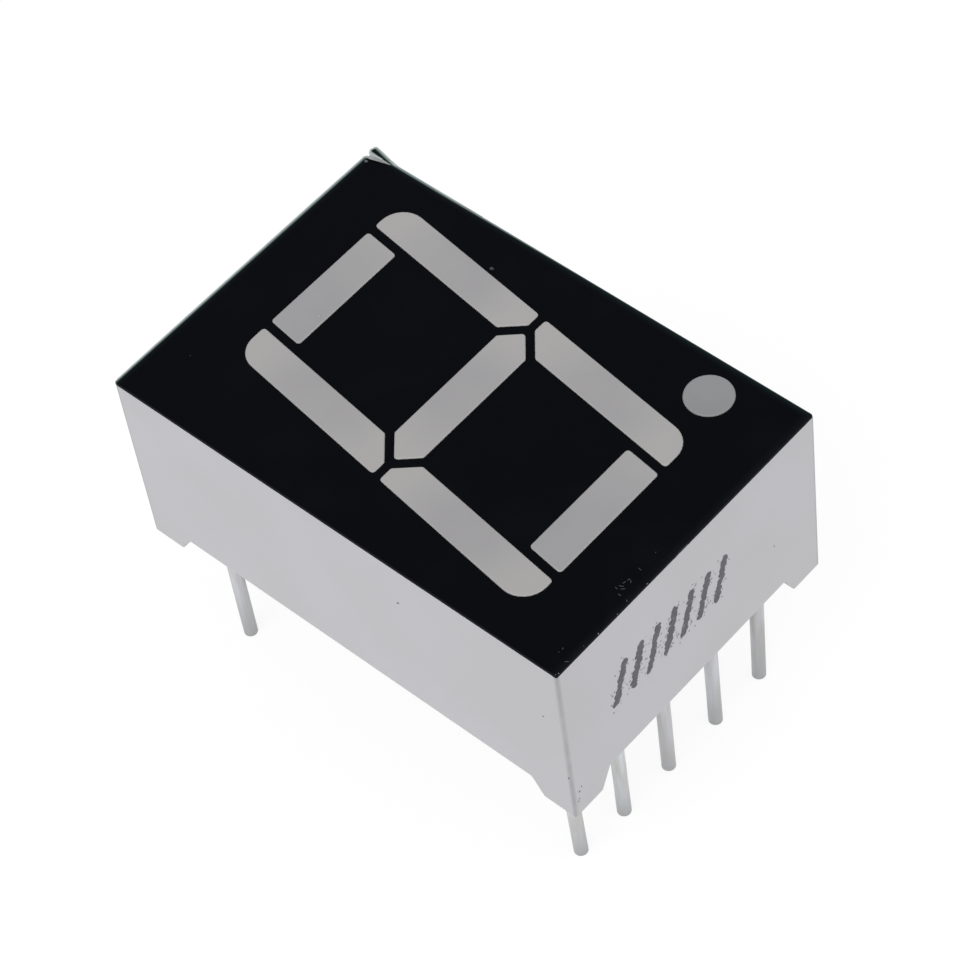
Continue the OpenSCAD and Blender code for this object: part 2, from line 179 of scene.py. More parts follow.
def outward(azimuth: float, elevation: float) -> Vector:
    """Returns the direction to a place so many degrees round from -Y and above the seating plane."""
    turn, rise = math.radians(azimuth), math.radians(elevation)
    return Vector((math.sin(turn) * math.cos(rise), -math.cos(turn) * math.cos(rise), math.sin(rise)))


def placed(name: str, data: Any) -> bpy.types.Object:
    """Makes an object and links it to the scene.

    Args:
        name: The object's name.
        data: Its mesh, curve, camera or lamp.

    Returns:
        The new object.
    """
    made = bpy.data.objects.new(name, data)
    bpy.context.scene.collection.objects.link(made)
    return made


def object_from(bm: bmesh.types.BMesh, name: str) -> bpy.types.Object:
    """Turns a mesh in millimetres into a new object in metres, at the origin.

    Args:
        bm: The mesh, which is freed.
        name: The object's name.

    Returns:
        The new object, linked to the scene.
    """
    bm.transform(Matrix.Scale(MM, 4))
    mesh = bpy.data.meshes.new(name)
    bm.to_mesh(mesh)
    bm.free()
    return placed(name, mesh)


def plain_mesh(made: bpy.types.Object) -> bpy.types.Object:
    """Gives an object the mesh that its modifiers make, and takes the modifiers off.

    Args:
        made: A mesh or curve object with live modifiers.

    Returns:
        A mesh object of the same name, without modifiers.
    """
    name = made.name
    depsgraph = bpy.context.evaluated_depsgraph_get()
    mesh = bpy.data.meshes.new_from_object(made.evaluated_get(depsgraph), depsgraph=depsgraph)
    bpy.data.objects.remove(made)
    mesh.name = name
    return placed(name, mesh)


def softened(
    node: bpy.types.Object, name: str, width: float, chosen: Callable[[bmesh.types.BMEdge], bool]
) -> bpy.types.Object:
    """Copies a CAD node and rounds some of its edges.

    Args:
        node: The CAD node's object.
        name: The name of the new piece.
        width: How far the rounding reaches from an edge, in millimetres.
        chosen: Says whether a sharp edge is rounded. Its places are in millimetres.

    Returns:
        The new piece, shaded smooth.
    """
    weld = 2e-4
    flat = math.radians(0.4)
    sharp = math.radians(35)
    steps = 3
    bm = bmesh.new()
    bm.from_mesh(node.data)
    bm.transform(Matrix.Scale(1 / MM, 4))
    bmesh.ops.remove_doubles(bm, verts=bm.verts, dist=weld)
    bmesh.ops.dissolve_limit(bm, angle_limit=flat, verts=bm.verts, edges=bm.edges)
    edges = [e for e in bm.edges if e.is_manifold and e.calc_face_angle(0) > sharp and chosen(e)]
    round_profile = {"profile": 0.5, "segments": steps, "offset_type": "OFFSET", "clamp_overlap": False}
    bmesh.ops.bevel(bm, geom=edges, offset=width, affect="EDGES", **round_profile)
    bmesh.ops.recalc_face_normals(bm, faces=bm.faces)
    piece = object_from(bm, name)
    piece.data.shade_smooth()
    piece.data.set_sharp_from_angle(angle=sharp)
    even = piece.modifiers.new("even_normals", "WEIGHTED_NORMAL")
    even.keep_sharp = True
    return plain_mesh(piece)


def dress(piece: bpy.types.Object, finish: Finish) -> None:
    """Gives a piece, or a CAD node that stays in view, its material.

    Args:
        piece: The piece's or the node's object.
        finish: The finish that it wears.
    """
    piece.data.materials.clear()
    piece.data.materials.append(finish.material())
    LOG.info("%s: %d faces, %s", piece.name, len(piece.data.polygons), finish.name)


def hand_over(piece: bpy.types.Object, finish: Finish, *replaced: str) -> None:
    """Gives a finished piece its place in the frame and its material.

    Args:
        piece: The piece, at the origin.
        finish: The finish that it wears.
        replaced: The CAD nodes that it stands for.
    """
    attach(piece, BODY)
    if replaced:
        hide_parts(*replaced)
    dress(piece, finish)


# ---- finishes -------------------------------------------------------------------------------


class Shader(Tree):
    """A material under construction, with the nodes that every finish here starts from."""

    def __init__(self, name: str, **surface: Any) -> None:
        """Starts a material.

        Args:
            name: The material's name.
            surface: Values for the Principled shader's own sockets, with _ for a space.
        """
        self.made = bpy.data.materials.new(name)
        super().__init__(self.made)
        values = {key.replace("_", " "): value for key, value in surface.items()}
        self.surface = self.add("ShaderNodeBsdfPrincipled", values, out=None)
        self.add("ShaderNodeOutputMaterial", {"Surface": self.surface.outputs[0]}, out=None)
        place = self.add("ShaderNodeTexCoord", out="Object")
        inputs = {"Vector": place, "Scale": (1 / MM,) * 3}
        self.place = self.add("ShaderNodeMapping", inputs)

    def noise(self, feature: float, detail: float = 2.0, stretch: Sequence[float] = (1, 1, 1)) -> Any:
        """Makes a noise pattern in real size.

        Args:
            feature: The size of its features, in millimetres.
            detail: How many finer layers it has.
            stretch: How much longer the features are along X, Y and Z.

        Returns:
            The pattern's value socket, about 0.5 on the whole.
        """
        squeezed = tuple(1 / s for s in stretch)
        place = self.add("ShaderNodeMapping", {"Vector": self.place, "Scale": squeezed})
        return self.add("ShaderNodeTexNoise", {"Vector": place, "Scale": 1 / feature, "Detail": detail})

    def upward(self) -> Any:
        """Returns a socket that is 1 where a face looks up, 0 where it is upright and -1 below."""
        return self.add(SPLIT, (self.add("ShaderNodeNewGeometry", out="Normal"),), 2)

    def feed(self, key: str, socket: Any) -> None:
        """Links a socket to the surface's input of that name."""
        self.tree.links.new(socket, self.surface.inputs[key])


@dataclass(frozen=True)
class Finish:
    """What every finish has: a name, the slot that it is for, and a material made once."""

    name: str
    slot: Slot

    def material(self) -> bpy.types.Material:
        """Returns the material, made the first time that it is asked for."""
        return bpy.data.materials.get(self.name) or self.build()

    def build(self) -> bpy.types.Material:
        """Makes the material."""
        raise NotImplementedError

    def vary(self, shader: Shader, colour: Any) -> Any:
        """Returns a colour's socket as it is. A finish that varies from place to place changes it."""
        return colour


@dataclass(frozen=True)
class MouldedPolycarbonate(Finish):
    """White filled polycarbonate from a spark-eroded mould: satin, with a fine even grain.

    A thin, patchy line of grey is painted along the upright edges: painted shade of their rounding.
    """

    white: str
    cool: str
    edge_shade_grey: str
    centre: tuple[float, float, float]
    edge_place: tuple[float, float]
    edge_reach: float
    cloud_size: float = 4.5
    patch_size: float = 0.9
    grain_size: float = 0.07
    grain_depth: float = 0.0012

    def build(self) -> bpy.types.Material:
        """Makes the material.

        Returns:
            The new material.
        """
        shader = Shader(self.name, Roughness=0.48, Specular_IOR_Level=0.35)
        cloud = shader.add(RANGE, (shader.noise(self.cloud_size, detail=1.0), 0.38, 0.62))
        body = shader.add(MIX, {0: cloud, 6: self.white, 7: self.cool}, 2, data_type="RGBA")
        inputs = {0: shader.place, 1: self.centre}
        centred = shader.add("ShaderNodeVectorMath", inputs, operation="SUBTRACT")
        apart = shader.add(SPLIT, (centred,), None).outputs
        offsets = [shader.add(MATH, (apart[axis],), operation="ABSOLUTE") for axis in range(2)]
        inwards = [shader.add(MATH, pair, operation="SUBTRACT") for pair in zip(self.edge_place, offsets)]
        from_edge = shader.add(MATH, inwards, operation="MAXIMUM")
        # Painted shade: a patchy grey line along the rounded upright edges.
        near_edge = shader.add(RANGE, (from_edge, 0.02, self.edge_reach, 1.0, 0.0))
        patches = shader.add(RANGE, (shader.noise(self.patch_size), 0.3, 0.6, 0.7))
        edge_shade = shader.add(MATH, (near_edge, patches), operation="MULTIPLY")
        shader.feed("Base Color", shader.add(MIX, {0: edge_shade, 6: body, 7: self.edge_shade_grey}, 2, data_type="RGBA"))
        inputs = {"Height": shader.noise(self.grain_size, detail=1.0), "Distance": self.grain_depth * MM}
        shader.feed("Normal", shader.add("ShaderNodeBump", inputs))
        return shader.made


@dataclass(frozen=True)
class PrintedFilm(Finish):
    """Polyester film printed black on its face: nearly matt, so it stays black from every side.

    The print thins out towards the two far edges, where the film's own blue-green shows, and it stops
    just short of them, which leaves a pale clear rim. The near cut edge and the face beside it are a
    little lighter, and the cut edge has turned white where the corner was torn.
    """

    black: str
    scuffed: str
    thin: str
    thin_reach: float
    clear: str
    cut_edge: str
    torn_edge: str
    torn_from: tuple[float, float]
    far_edges: tuple[float, float]
    rim_width: float
    near_edge: float
    near_reach: float
    flare_from: float
    flare: tuple[float, float]
    scuff_size: float = 2.2
    wear_size: float = 0.6
    torn_fade: float = 0.1

    def build(self) -> bpy.types.Material:
        """Makes the material.

        Returns:
            The new material.
        """
        shader = Shader(self.name, Roughness=0.5, Specular_IOR_Level=0.02)
        scuff = shader.add(RANGE, (shader.noise(self.scuff_size, detail=3.0), 0.52, 0.75))
        face = shader.add(MIX, {0: scuff, 6: self.black, 7: self.scuffed}, 2, data_type="RGBA")
        x, y, _ = shader.add(SPLIT, (shader.place,), None).outputs
        flare_length, flare_width = self.flare
        flared = shader.add(RANGE, (y, self.flare_from, self.flare_from + flare_length, 0.0, flare_width))
        side = shader.add(MATH, (flared, self.far_edges[0]), operation="ADD")
        from_side = shader.add(MATH, (side, x), operation="SUBTRACT")
        from_top = shader.add(MATH, (self.far_edges[1], y), operation="SUBTRACT")
        nearest = shader.add(MATH, (from_side, from_top), operation="MINIMUM")
        thinned = shader.add(RANGE, (nearest, self.thin_reach, 0.0))
        thinned = shader.add(MATH, (thinned, 2.0), operation="POWER")
        face = shader.add(MIX, {0: thinned, 6: face, 7: self.thin}, 2, data_type="RGBA")
        near = shader.add(RANGE, (y, self.near_edge, self.near_edge + self.near_reach, 1.4, 0.0))
        polish = shader.add(MATH, (shader.noise(self.wear_size), near), operation="MULTIPLY")
        face = shader.add(MIX, {0: polish, 6: face, 7: self.cut_edge}, 2, data_type="RGBA")
        places = zip((x, y), self.torn_from)
        torn = [shader.add(RANGE, (at, edge, edge + self.torn_fade)) for at, edge in places]
        corner = shader.add(MATH, torn, operation="MULTIPLY")
        edge = shader.add(MIX, {0: corner, 6: self.cut_edge, 7: self.torn_edge}, 2, data_type="RGBA")
        upright = shader.add(RANGE, (shader.upward(), 0.95, 0.4))
        dressed = shader.add(MIX, {0: upright, 6: face, 7: edge}, 2, data_type="RGBA")
        side_width = shader.add(RANGE, (y, 0.0, 6.0, 0.4 * self.rim_width, self.rim_width))
        clear_side = shader.add(MATH, (from_side, side_width), operation="DIVIDE")
        clear_top = shader.add(MATH, (from_top, self.rim_width), operation="DIVIDE")
        clear = shader.add(RANGE, (shader.add(MATH, (clear_side, clear_top), operation="MINIMUM"), 1.0, 0.0))
        shader.feed("Base Color", shader.add(MIX, {0: clear, 6: dressed, 7: self.clear}, 2, data_type="RGBA"))
        return shader.made


@dataclass(frozen=True)
class CastEpoxy(Finish):
    """Epoxy filled with a light-spreading powder and cast in place: smooth, milky and a little cloudy.

    Its rounded rim is painted lighter: a painted highlight where the face tips away from straight up.
    """

    milky: str
    warm: str
    rim: str
    rim_highlight_share: float
    cloud_size: float = 1.8
    ripple_size: float = 0.5
    ripple_depth: float = 0.004

    def build(self) -> bpy.types.Material:
        """Makes the material.

        Returns:
            The new material.
        """
        shader = Shader(self.name, Roughness=0.42, Specular_IOR_Level=0.3)
        cloud = shader.add(RANGE, (shader.noise(self.cloud_size), 0.35, 0.65))
        body = shader.add(MIX, {0: cloud, 6: self.milky, 7: self.warm}, 2, data_type="RGBA")
        body = self.vary(shader, body)
        # Painted highlight: the rim colour goes on faces that tip away from straight up.
        rim = shader.add(RANGE, (shader.upward(), 0.97, 0.6, 0.0, self.rim_highlight_share))
        shader.feed("Base Color", shader.add(MIX, {0: rim, 6: body, 7: self.rim}, 2, data_type="RGBA"))
        inputs = {"Height": shader.noise(self.ripple_size), "Distance": self.ripple_depth * MM}
        shader.feed("Normal", shader.add("ShaderNodeBump", inputs))
        return shader.made


@dataclass(frozen=True)
class WellEpoxy(CastEpoxy):
    """Milky epoxy over a tapered well, with painted shade: greyest where the well is deep, lighter over its
    slopes.

    Attributes:
        slopes: The colour over the slopes, lighter than the painted shade at the deep place.
        deep: The deep place, from the middle of the lamp, along X and Y in millimetres.
        reach: How far from the deep place the colour of the slopes is reached.
        floor_share: The share of that reach over which the colour stays the deep one.
    """

    slopes: str = "#aba9a8"
    deep: tuple[float, float] = (0.0, 0.0)
    reach: float = 2.7
    floor_share: float = 0.33

    def centred(self, name: str, middle: Vector) -> WellEpoxy:
        """Returns this finish for one lamp, with its deep place counted from the frame's origin."""
        deep = (middle.x + self.deep[0], middle.y + self.deep[1])
        return replace(self, name=f"{self.name}_{name}", deep=deep)

    def vary(self, shader: Shader, colour: Any) -> Any:
        """Lightens the colour away from the deep place, so that painted shade stays there.

        Args:
            shader: The material under construction.
            colour: The deep place's colour socket.

        Returns:
            The new colour's socket.
        """
        place = shader.add(SPLIT, (shader.place,), None).outputs
        offsets = [shader.add(MATH, (at, deep), operation="SUBTRACT") for at, deep in zip(place, self.deep)]
        squares = [shader.add(MATH, (offset, offset), operation="MULTIPLY") for offset in offsets]
        away = shader.add(MATH, (shader.add(MATH, squares, operation="ADD"),), operation="SQRT")
        # Painted shade: the deep place keeps the darker colour, and the slopes get the lighter one.
        share = shader.add(RANGE, (away, self.floor_share * self.reach, self.reach))
        return shader.add(MIX, {0: share, 6: colour, 7: self.slopes}, 2, data_type="RGBA")


@dataclass(frozen=True)
class DippedMetal(Finish):
    """Metal with a thin dipped or drawn skin: satin, with soft streaks along its length."""

    bright: str
    dull: str
    streak: float
    length: float
    gloss: tuple[float, float]
    metallic: float = 1.0
    relief: float = 0.003

    def build(self) -> bpy.types.Material:
        """Makes the material.

        Returns:
            The new material.
        """
        shader = Shader(self.name, Metallic=self.metallic)
        streaks = shader.noise(self.streak, detail=3.0, stretch=(1, 1, self.length))
        patches = shader.noise(5 * self.streak, detail=1.0, stretch=(1, 1, 0.3 * self.length))
        share = shader.add(RANGE, (shader.add(MATH, (streaks, patches), operation="ADD"), 0.8, 1.2))
        colour = shader.add(MIX, {0: share, 6: self.bright, 7: self.dull}, 2, data_type="RGBA")
        shader.feed("Base Color", self.vary(shader, colour))
        shader.feed("Roughness", shader.add(RANGE, (patches, 0.3, 0.7, *self.gloss)))
        shader.feed("Normal", shader.add("ShaderNodeBump", {"Height": streaks, "Distance": self.relief * MM}))
        return shader.made


@dataclass(frozen=True)
class TinnedWire(DippedMetal):
    """Tin plated steel wire: satin, with draw lines along it, and duller towards its cut end."""

    streak: float = 0.12
    length: float = 14.0
    gloss: tuple[float, float] = (0.42, 0.52)
    metallic: float = 0.5
    end: str = "#abacae"
    aged: tuple[float, float] = (-1.5, -6.7)

    def vary(self, shader: Shader, colour: Any) -> Any:
        """Dulls the colour towards the cut end.

        Args:
            shader: The material under construction.
            colour: The root's colour socket.

        Returns:
            The new colour's socket.
        """
        age = shader.add(RANGE, (shader.add(SPLIT, (shader.place,), 2), *self.aged))
        aged = shader.add(MATH, (age, 2.0), operation="POWER")
        return shader.add(MIX, {0: aged, 6: colour, 7: self.end}, 2, data_type="RGBA")


@dataclass(frozen=True)
class WovenLaminate(Finish):
    """Bare glass-epoxy laminate: yellowish, with the glass cloth showing through."""

    resin: str
    cloth: str
    thread: float
    relief: float = 0.004

    def build(self) -> bpy.types.Material:
        """Makes the material.

        Returns:
            The new material.
        """
        shader = Shader(self.name, Roughness=0.4)
        inputs = {"Vector": shader.place, "Scale": 1 / self.thread, "Distortion": 0.4}
        waves = [shader.add("ShaderNodeTexWave", inputs, out=1, bands_direction=axis) for axis in "XY"]
        weave = shader.add(MATH, waves, operation="MULTIPLY")
        colour = shader.add(MIX, {0: weave, 6: self.resin, 7: self.cloth}, 2, data_type="RGBA")
        shader.feed("Base Color", colour)
        shader.feed("Normal", shader.add("ShaderNodeBump", {"Height": weave, "Distance": self.relief * MM}))
        return shader.made


@dataclass(frozen=True)
class MottledMatt(Finish):
    """What lies thin or loose on the part: ink, dust or bare film, matt and mottled in two shades."""

    main: str
    other: str
    mottle_size: float = 0.25

    def build(self) -> bpy.types.Material:
        """Makes the material.

        Returns:
            The new material.
        """
        shader = Shader(self.name, Roughness=0.75, Specular_IOR_Level=0.2)
        share = shader.add(RANGE, (shader.noise(self.mottle_size), 0.4, 0.7))
        colour = shader.add(MIX, {0: share, 6: self.main, 7: self.other}, 2, data_type="RGBA")
        shader.feed("Base Color", colour)
        return shader.made


# Its edge grey is painted shade along the upright edges.
HOUSING_WHITE = MouldedPolycarbonate(
    "moulded_white_polycarbonate", Slot.HOUSING, white="#cac8cc", cool="#c7c6c9", edge_shade_grey="#a3a4a4",
    centre=(-0.05, 0.04, 0.0), edge_place=(6.3, 9.5), edge_reach=0.16,
)
FILM_BLACK = PrintedFilm(
    "printed_black_polyester", Slot.FILM, black="#07080c", scuffed="#0a0b10", thin="#1a2626", thin_reach=0.32,
    clear="#a6b2b0", cut_edge="#15171b", torn_edge="#cdd1cc", torn_from=(5.65, 8.4),
    far_edges=(6.19, 9.52), rim_width=0.11, near_edge=-9.46, near_reach=0.25, flare_from=8.47,
    flare=(0.95, 0.12),
)
# In each epoxy finish, the third colour and the number after it are a painted highlight on the rounded rim.
BAR_EPOXY = WellEpoxy("cast_milky_epoxy", Slot.BAR, "#a09ea0", "#a4a2a2", "#bcbbb9", 0.8)
# BAR_EPOXY and DEEP_EPOXY also paint shade over each well: greyest at the deep place, lighter over the
# slopes.
DEEP_EPOXY = WellEpoxy(
    "cast_deep_epoxy", Slot.BAR, "#9c9b9e", "#a09e9f", "#bcbbb9", 0.8,
    slopes="#a7a5a5", deep=(-1.3, 0.0), reach=3.8,
)
POINT_EPOXY = CastEpoxy("cast_milky_epoxy_point", Slot.POINT, "#8c8c8e", "#909092", "#a2a3a3", 0.6)
BACK_EPOXY = CastEpoxy("poured_back_epoxy", Slot.BACK, "#c9c8c2", "#c2c1b8", "#cfcec9", 0.3)
TIN_BRIGHT = TinnedWire("tinned_wire_bright", Slot.PIN, "#dfe2e6", "#cfcfcc")
TIN_PLAIN = TinnedWire("tinned_wire", Slot.PIN, "#d4d5dc", "#c6c5c4")
TIN_DULL = TinnedWire("tinned_wire_dull", Slot.PIN, "#c9c9ce", "#b6b6b2")
SOLDER_TIN = DippedMetal("reflowed_solder", Slot.SOLDER, "#b9bcbf", "#a5a9ad", 0.3, 1.0, (0.25, 0.45))
COPPER_FOIL = DippedMetal("etched_copper_foil", Slot.COPPER, "#c88a5a", "#a86a42", 0.5, 1.0, (0.3, 0.5))
GOLD_WIRE = DippedMetal("drawn_gold_wire", Slot.WIRE, "#e6bd63", "#cfa24a", 0.1, 1.0, (0.2, 0.3))
CHIP_CRYSTAL = DippedMetal("sawn_led_crystal", Slot.CHIP, "#4c515c", "#2e323b", 0.1, 1.0, (0.1, 0.25), 0.4)
LAMINATE = WovenLaminate("bare_glass_epoxy_laminate", Slot.BOARD, "#c9bf8e", "#d6cea6", 0.8)
INK = MottledMatt("spray_printed_grey_ink", Slot.HOUSING, "#68686c", "#727276")
INK_MIST = MottledMatt("grey_ink_mist", Slot.HOUSING, "#8f8f93", "#a2a2a6")
DUST_PALE = MottledMatt("pale_dust", Slot.FILM, "#7f8485", "#6d7274")
DUST_WHITE = MottledMatt("white_dust", Slot.FILM, "#c4c1c4", "#b4b1b4")
DUST_GREY = MottledMatt("grey_dust", Slot.FILM, "#55585a", "#45484b")
CLEAR_RIM = MottledMatt("clear_polyester_rim", Slot.FILM, "#b4bfbd", "#a6b2af")
DUST_DARK = MottledMatt("dark_grit", Slot.HOUSING, "#7c7c80", "#8f8f92")


# ---- geometry node tools --------------------------------------------------------------------


class Recipe(Tree):
    """A Geometry Nodes tree with named inputs, made once and used on any number of objects."""

    def __init__(self, name: str, lengths: Sequence[str], shares: Sequence[str] = ()) -> None:
        """Starts a tree that takes a geometry, the named inputs, a seed and a finish.

        Args:
            name: The tree's name.
            lengths: The names of the inputs that are lengths.
            shares: The names of the inputs that are plain numbers.
        """
        super().__init__(bpy.data.node_groups.new(name, "GeometryNodeTree"))
        self.lengths = lengths
        interface = self.tree.interface
        interface.new_socket("Geometry", in_out="INPUT", socket_type="NodeSocketGeometry")
        kinds = dict.fromkeys((*lengths, *shares), "Float") | {"seed": "Int", "finish": "Material"}
        self.identifiers = {
            key: interface.new_socket(key, in_out="INPUT", socket_type=f"NodeSocket{kind}").identifier
            for key, kind in kinds.items()
        }
        interface.new_socket("Geometry", in_out="OUTPUT", socket_type="NodeSocketGeometry")
        self.given = self.add("NodeGroupInput", out=None).outputs

    def end(self, geometry: Any) -> None:
        """Realizes the geometry, gives it the input named finish, and puts it out.

        Args:
            geometry: The last node's geometry socket.
        """
        real = self.add("GeometryNodeRealizeInstances", {0: geometry})
        inputs = {"Geometry": real, "Material": self.given["finish"]}
        self.add("NodeGroupOutput", {0: self.add("GeometryNodeSetMaterial", inputs)}, out=None)

    def scatter(self, low: Any, high: Any, salt: int) -> Any:
        """Makes a random number or vector for each point.

        Args:
            low: The lowest value.
            high: The highest value, a tuple for a vector.
            salt: Added to the tree's input named seed, so that no two calls agree.

        Returns:
            The random value's socket.
        """
        kind, first, out = ("FLOAT_VECTOR", 0, 0) if isinstance(high, tuple) else ("FLOAT", 2, 1)
        seed = self.add(MATH, (self.given["seed"], salt), operation="ADD")
        inputs = {first: low, first + 1: high, "Seed": seed}
        return self.add("FunctionNodeRandomValue", inputs, out, data_type=kind)

    def make(self, source: Any, finish: Finish, *replaced: str, **values: float) -> bpy.types.Object:
        """Runs this tree on an object and hands over the piece that it makes.

        Args:
            source: A mesh or curve object, which gives the piece its name.
            finish: The piece's finish.
            replaced: The CAD nodes that the piece stands for.
            values: A value for each other input, with lengths in millimetres.

        Returns:
            The piece.
        """
        modifier = source.modifiers.new(self.tree.name, "NODES")
        modifier.node_group = self.tree
        modifier[self.identifiers["finish"]] = finish.material()
        for key, value in values.items():
            modifier[self.identifiers[key]] = value * MM if key in self.lengths else value
        piece = plain_mesh(source)
        hand_over(piece, finish, *replaced)
        return piece


def poly_curve(
    name: str, runs: Sequence[Sequence[Sequence[float]]], girths: Sequence[Sequence[float]] | None = None
) -> bpy.types.Object:
    """Makes a curve object of straight stretches, in metres.

    Args:
        name: The object's name.
        runs: A list of points for each spline, in millimetres.
        girths: For each spline, the thickness at each point as a share of the full one.

    Returns:
        The new curve object, linked to the scene.
    """
    curve = bpy.data.curves.new(name, "CURVE")
    curve.dimensions = "3D"
    for run, points in enumerate(runs):
        spline = curve.splines.new("POLY")
        spline.points.add(len(points) - 1)
        for i, point in enumerate(points):
            spline.points[i].co = (*(Vector(point) * MM), 1.0)
            spline.points[i].radius = girths[run][i] if girths else 1.0
    return placed(name, curve)


# ---- the display ----------------------------------------------------------------------------


@dataclass
class Box:
    """A CAD node's box, in millimetres."""

    low: Vector
    high: Vector

    @classmethod
    def of(cls, node: str) -> Box:
        """Measures a CAD node."""
        low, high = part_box(node)
        return cls(low / MM, high / MM)


@dataclass
class Part:
    """A sub-assembly, made from the frame's CAD nodes."""

    nodes: dict[str, bpy.types.Object]


@dataclass
class Housing(Part):
    """The white moulding, with what has been printed on it and what sticks to it."""

    edge_rounding: float = 0.045
    rim_margin: float = 0.02
    foot_zone: float = 1.1
    mark_left: float = -3.95
    mark_low: float = 3.75
    mark_height: float = 1.75
    mark_lean: float = 0.55
    mark_pitch: float = 0.83
    mark_strokes: int = 7
    ink_depth: float = 0.006
    # The printer's two passes: lengths in millimetres, then shares of the dots
    dense = {"spacing": 0.022, "dot": 0.12, "shake": 0.09, "smallest": 0.55, "share": 1.0, "seed": 5}
    mist = {"spacing": 0.035, "dot": 0.045, "shake": 0.36, "smallest": 0.3, "share": 0.8, "seed": 9}
    # Grit: y and z on the left side wall, x and z on the lower end wall
    side_grit = ((-2.7, 6.14), (-8.63, 5.17), (-9.38, 2.32))
    end_grit = ((3.99, 3.46), (-5.93, 1.4), (-6.05, 1.24), (-6.1, 0.87), (-6.15, 0.76))
    grit_size = (0.04, 0.03, 0.05)

    def build(self) -> None:
        """Makes the shell, its printed hatching and its grit."""
        self.shell()
        self.hatching()
        self.grit()

    def shell(self) -> None:
        """Rounds the outer rims of the moulding and the edges of its feet."""
        top = Box.of("housing").high
        wall = 0.5 * self.foot_zone

        def outer_rim(edge: bmesh.types.BMEdge) -> bool:
            """Says whether an edge is round the feet or on the outside of the front rim.

            Args:
                edge: An edge, in millimetres.

            Returns:
                True if both its ends are.
            """
            ends = [v.co for v in edge.verts]
            low = all(p.z < self.foot_zone for p in ends)
            high = all(p.z > top.z - self.rim_margin for p in ends)
            outside = all(abs(p.x) > top.x - wall or abs(p.y) > top.y - wall for p in ends)
            return low or (high and outside)

        piece = softened(self.nodes["housing"], "housing_shell", self.edge_rounding, outer_rim)
        hand_over(piece, HOUSING_WHITE, "housing")

    def hatching(self) -> None:
        """Prints a plain row of slanted strokes on the lower end wall."""
        wall = Box.of("housing").low.y
        strokes = []
        for i in range(self.mark_strokes):
            left = self.mark_left + i * self.mark_pitch
            low = (left, wall, self.mark_low)
            high = (left + self.mark_lean, wall, self.mark_low + self.mark_height)
            strokes.append([low, high])
        passes = (("printed_hatching", INK, self.dense), ("printed_overspray", INK_MIST, self.mist))
        for name, finish, dots in passes:
            source = poly_curve(name, strokes)
            spray_recipe().make(source, finish, depth=2 * self.ink_depth, **dots)

    def grit(self) -> None:
        """Puts a few dark grains on the walls, most of them by the nearest foot."""
        low = Box.of("housing").low
        places = [(low.x, y, z) for y, z in self.side_grit] + [(x, low.y, z) for x, z in self.end_grit]
        scatter_grains("wall_grit", places, self.grit_size, 11, DUST_DARK)


def scatter_grains(
    name: str, places: Sequence[Sequence[float]], size: Sequence[float], seed: int, finish: Finish
) -> None:
    """Makes a piece of small separate grains.

    Args:
        name: The piece's name.
        places: The grains' centres, in millimetres.
        size: A grain's largest half size along X, Y and Z, in millimetres.
        seed: The seed of their random shapes.
        finish: The grains' finish.
    """
    bm = bmesh.new()
    for place in places:
        bm.verts.new(place)
    sizes = dict(zip(grain_recipe().lengths, size))
    grain_recipe().make(object_from(bm, name), finish, seed=seed, **sizes)


@cache
def grain_recipe() -> Recipe:
    """Puts a small uneven grain on every vertex of a mesh.

    Returns:
        The tree that does it.
    """
    least = 0.45
    made = Recipe("grains_on_points", ("width", "length", "height"))
    inputs = {axis: made.given[size] for axis, size in enumerate(made.lengths)}
    size = made.add("ShaderNodeCombineXYZ", inputs)
    share = made.scatter((least,) * 3, (1.0, 1.0, 1.0), 1)
    scale = made.add("ShaderNodeVectorMath", {0: size, 1: share}, operation="MULTIPLY")
    lump = made.add("GeometryNodeMeshIcoSphere", {"Radius": 1.0, "Subdivisions": 2})
    turn = made.scatter((0.0, 0.0, 0.0), (math.tau,) * 3, 2)
    inputs = {"Points": made.given["Geometry"], "Instance": lump, "Rotation": turn, "Scale": scale}
    made.end(made.add("GeometryNodeInstanceOnPoints", inputs))
    return made


@cache
def spray_recipe() -> Recipe:
    """Sprays flat dots along strokes on a wall that faces -Y.

    Returns:
        The tree that does it.
    """
    sides = 12
    made = Recipe("sprayed_dots", ("spacing", "dot", "depth", "shake"), ("smallest", "share"))
    inputs = {"Vertices": sides, "Radius": made.given["dot"], "Depth": made.given["depth"]}
    disc = made.add("GeometryNodeMeshCylinder", inputs)
    inputs = {"Curve": made.given["Geometry"], "Length": made.given["spacing"]}
    points = made.add("GeometryNodeCurveToPoints", inputs, mode="LENGTH")
    inputs = {0: made.scatter((-1.0, 0.0, -1.0), (1.0, 0.0, 1.0), 1), "Scale": made.given["shake"]}
    offset = made.add("ShaderNodeVectorMath", inputs, operation="SCALE")
    points = made.add("GeometryNodeSetPosition", {"Geometry": points, "Offset": offset})
    inputs = {0: made.scatter(0.0, 1.0, 2), 1: made.given["share"]}
    kept = made.add("FunctionNodeCompare", inputs, operation="LESS_THAN")
    inputs = {
        "Points": points, "Selection": kept, "Instance": disc, "Rotation": (math.pi / 2, 0.0, 0.0),
        "Scale": made.scatter(made.given["smallest"], 1.0, 3),
    }
    made.end(made.add("GeometryNodeInstanceOnPoints", inputs))
    return made


